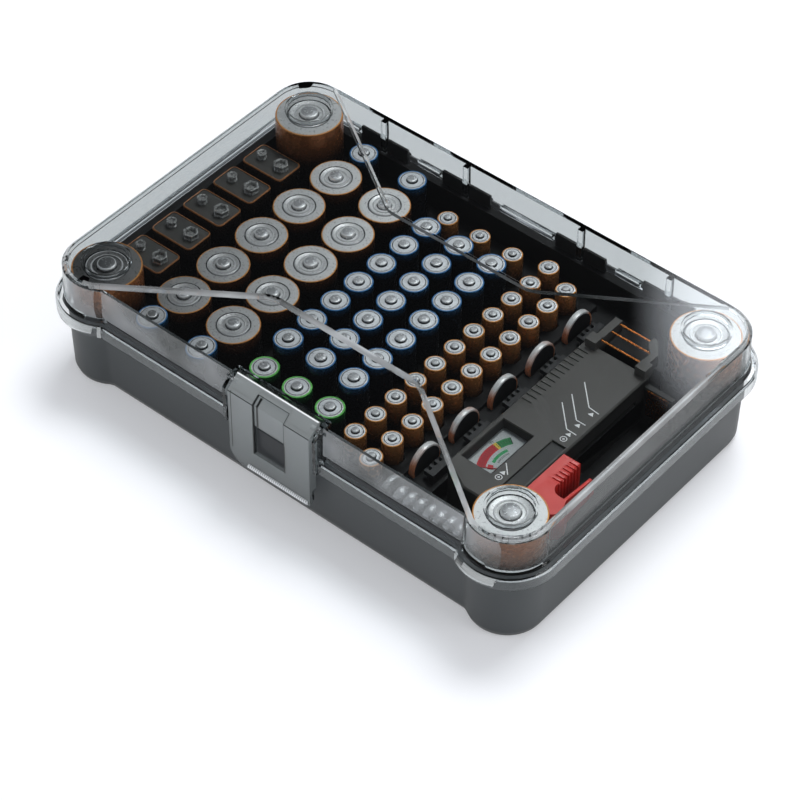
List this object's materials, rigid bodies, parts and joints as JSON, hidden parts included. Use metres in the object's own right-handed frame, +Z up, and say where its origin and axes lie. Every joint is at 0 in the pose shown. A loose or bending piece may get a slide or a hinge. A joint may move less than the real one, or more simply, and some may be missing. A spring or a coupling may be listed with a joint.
{
  "type": "battery storage case",
  "caption": "Hinged battery storage case: dark base shell, socket tray with cells and a cell tester, clear smoked lid with a front latch.",
  "frame": {"origin": "middle of the base shell's flat underside, midway between the side lobes and between the corner cells front and back", "axes": "+X along the front to the right as seen from the latch, +Y from the latch to the hinges, +Z up"},
  "size_m": [0.2962, 0.1994, 0.068],
  "materials": {
    "shell_grey": "satin",
    "tray_black": "satin",
    "lid_smoke": "clear smoked, polished",
    "latch_smoke": "clear smoked, polished",
    "pin_steel": "plain",
    "tester_grey": "fine matt",
    "contact_copper": "bright",
    "window_clear": "clear",
    "dial_white": "printed white",
    "needle_red": "painted",
    "slider_red": "satin",
    "cell_copper": "metallic copper jacket",
    "cell_dark": "dark jacket",
    "coin_steel": "bright"
  },
  "bodies": {
    "base": {"base_shell": "shell_grey", "socket_tray": "tray_black", "hinge_brackets": "tray_black", "hinge_pins": "pin_steel", "tester_upper_case": "tester_grey", "tester_lower_case": "tester_grey", "contact_rods": "contact_copper", "fixed_contact": "contact_copper", "tester_screws": "pin_steel", "meter_window": "window_clear", "meter_dial": "dial_white", "meter_movement": "tray_black", "d_cells": "cell_copper", "c_cells": "cell_copper", "aa_cells": "cell_dark", "short_cells": "cell_dark", "aaa_cells": "cell_copper", "block_cells": "cell_dark", "block_snaps": "coin_steel", "coin_cells": "coin_steel", "button_cells": "coin_steel"},
    "lid": {"lid_cover": "lid_smoke"},
    "latch": {"latch_flap": "latch_smoke", "latch_pins": "pin_steel"},
    "slider": {"slider_arm": "slider_red", "slider_contact": "contact_copper"},
    "needle": {"meter_needle": "needle_red"}
  },
  "joints": [
    {"name": "lid_hinge", "type": "hinge", "parent": "base", "child": "lid", "pos_m": [0, 0.0975, 0.04], "axis": [-1, 0, 0], "range_deg": [0, 105]},
    {"name": "latch_hinge", "type": "hinge", "parent": "lid", "child": "latch", "pos_m": [0, -0.0897, 0.0624], "axis": [-1, 0, 0], "range_deg": [0, 70]},
    {"name": "slider_run", "type": "slide", "parent": "base", "child": "slider", "axis": [0, 1, 0], "range_m": [0, 0.056]},
    {"name": "needle_swing", "type": "hinge", "parent": "base", "child": "needle", "pos_m": [0.101, -0.0343, 0.038], "axis": [0, 0, -1], "range_deg": [0, 62], "stiffness_Nm_per_rad": 0.000002}
  ]
}
